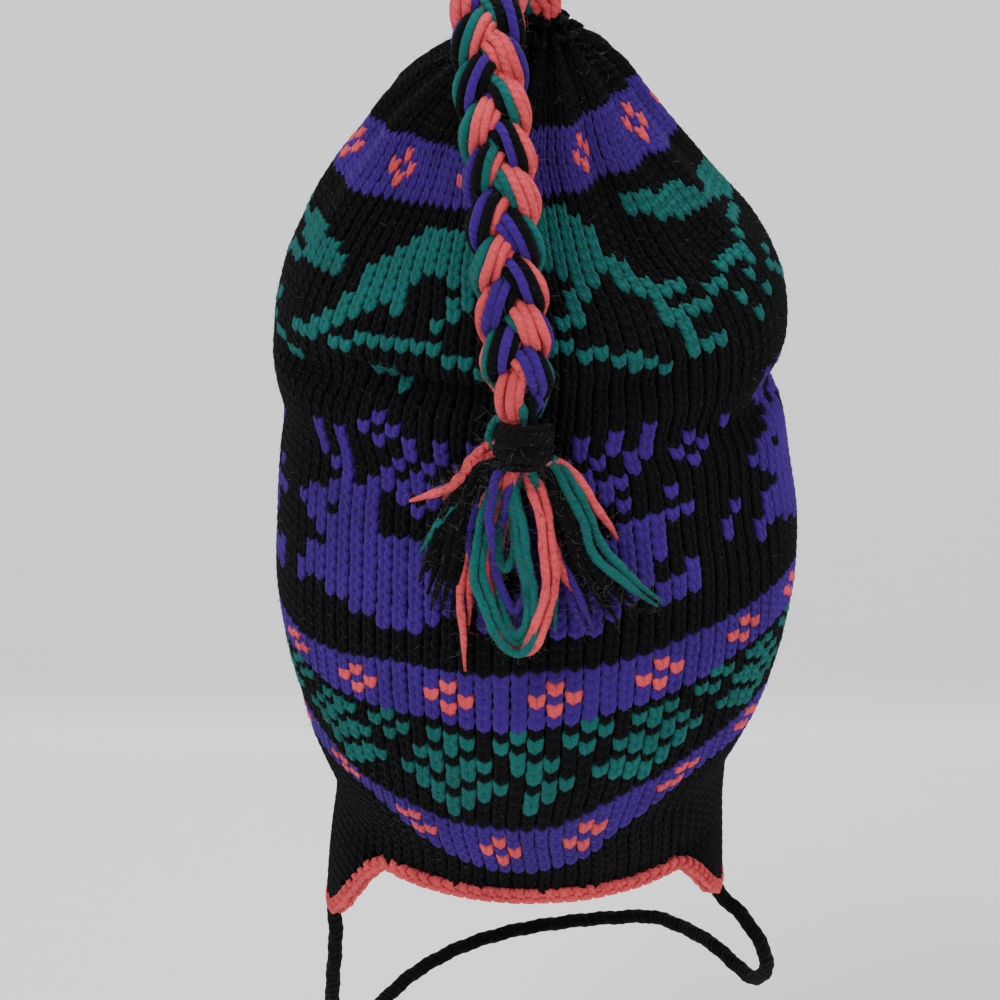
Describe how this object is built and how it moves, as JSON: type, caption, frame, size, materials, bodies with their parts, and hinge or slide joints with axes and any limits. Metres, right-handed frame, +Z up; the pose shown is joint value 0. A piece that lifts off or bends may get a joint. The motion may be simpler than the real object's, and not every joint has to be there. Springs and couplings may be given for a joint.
{
  "type": "chullo hat",
  "caption": "tall knitted ear-flap hat with a gathered top, patterned bands, crochet edge, chin tie, and a braid with a tassel hanging down the back",
  "frame": {"origin": "mount head_seat, where the crown of the head sits inside the hat, on the level of the waist between the head and the empty top of the tube", "axes": "Z up, Y from the nape towards the face, X to the right seen from behind the hat"},
  "size_m": [0.1707, 0.2038, 0.3819],
  "materials": {
    "crown_wool": "knitted wool, black ground with purple, teal and coral figures",
    "flap_wool": "plain black knitted wool",
    "edge_wool": "coral crocheted wool",
    "tie_wool": "black wool cord",
    "braid_wool": "braided coral, teal, purple and black yarns",
    "wrap_wool": "wound black yarn",
    "tassel_wool": "loose coral, teal, purple and black yarns"
  },
  "bodies": {
    "root": {"knit_crown": "crown_wool", "ear_flap_left": "flap_wool", "ear_flap_right": "flap_wool", "crochet_edge": "edge_wool", "chin_tie": "tie_wool", "braid": "braid_wool", "braid_wrap": "wrap_wool", "tassel": "tassel_wool"}
  },
  "joints": []
}
